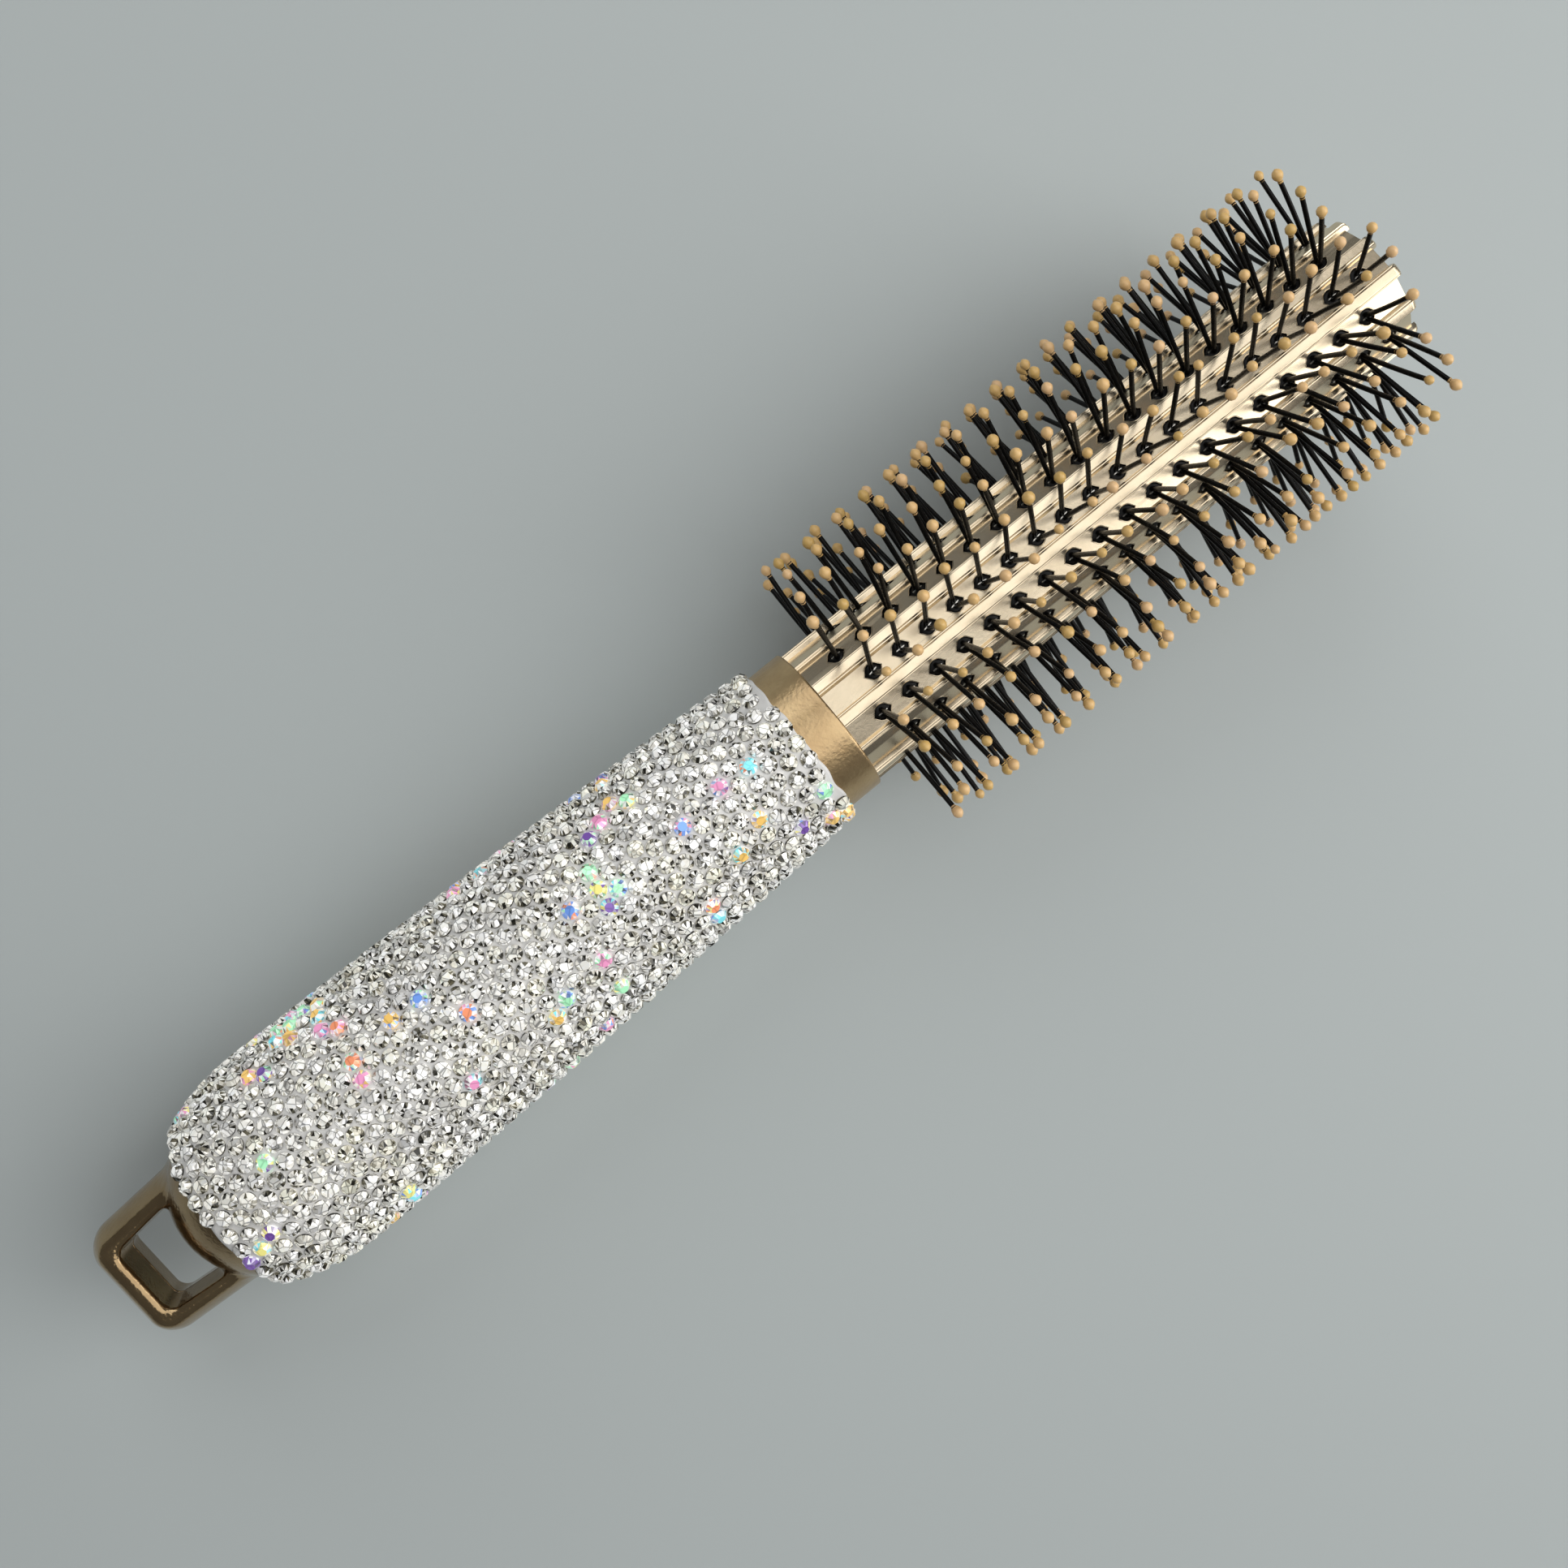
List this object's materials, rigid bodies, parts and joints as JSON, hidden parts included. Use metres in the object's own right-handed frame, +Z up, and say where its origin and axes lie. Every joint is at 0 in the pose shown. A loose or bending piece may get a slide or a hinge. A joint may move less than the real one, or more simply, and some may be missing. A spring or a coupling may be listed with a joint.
{
  "type": "round hair brush",
  "caption": "Round styling brush with splayed ball-tipped nylon bristles on a ribbed barrel and a tapered, crystal-covered handle that ends in a hanging loop.",
  "frame": {"origin": "on the table, under the middle of the brush's bounding box, as the brush lies on the widest part of its handle and on its first bristles", "axes": "+X from the hanging loop towards the barrel's tip, along the brush seen from above; the brush's own axis rises 3.4 degrees from X towards the tip because it lies on its bristles; +Z up, square to the hanging loop's width; +Y completes the right-handed frame, across the loop"},
  "size_m": [0.22, 0.0438, 0.049],
  "materials": {
    "satin_gold": "satin metallic gold paint over moulded plastic, semi-rough",
    "champagne_plate": "champagne metal plating over moulded plastic, glossy",
    "backing_film": "translucent whitish adhesive sheet",
    "crystal": "clear foil-backed faceted flat-back glass stones",
    "crystal_iridescent": "faceted flat-back glass stones with an iridescent coating",
    "black_nylon": "glossy black nylon filament",
    "tip_resin": "tan dipped resin beads, semi-gloss",
    "anchor_wire": "bright flat wire"
  },
  "bodies": {
    "root": {"handle_upper_shell": "satin_gold", "handle_lower_shell": "satin_gold", "crystal_backing": "backing_film", "crystal_layer": "crystal", "barrel": "champagne_plate", "tip_cap": "champagne_plate", "bristle_row_01": "black_nylon", "bristle_row_02": "black_nylon", "bristle_row_03": "black_nylon", "bristle_row_04": "black_nylon", "bristle_row_05": "black_nylon", "bristle_row_06": "black_nylon", "bristle_row_07": "black_nylon", "bristle_row_08": "black_nylon", "bristle_row_09": "black_nylon", "bristle_row_10": "black_nylon", "bristle_row_11": "black_nylon", "bristle_row_12": "black_nylon"}
  },
  "joints": []
}
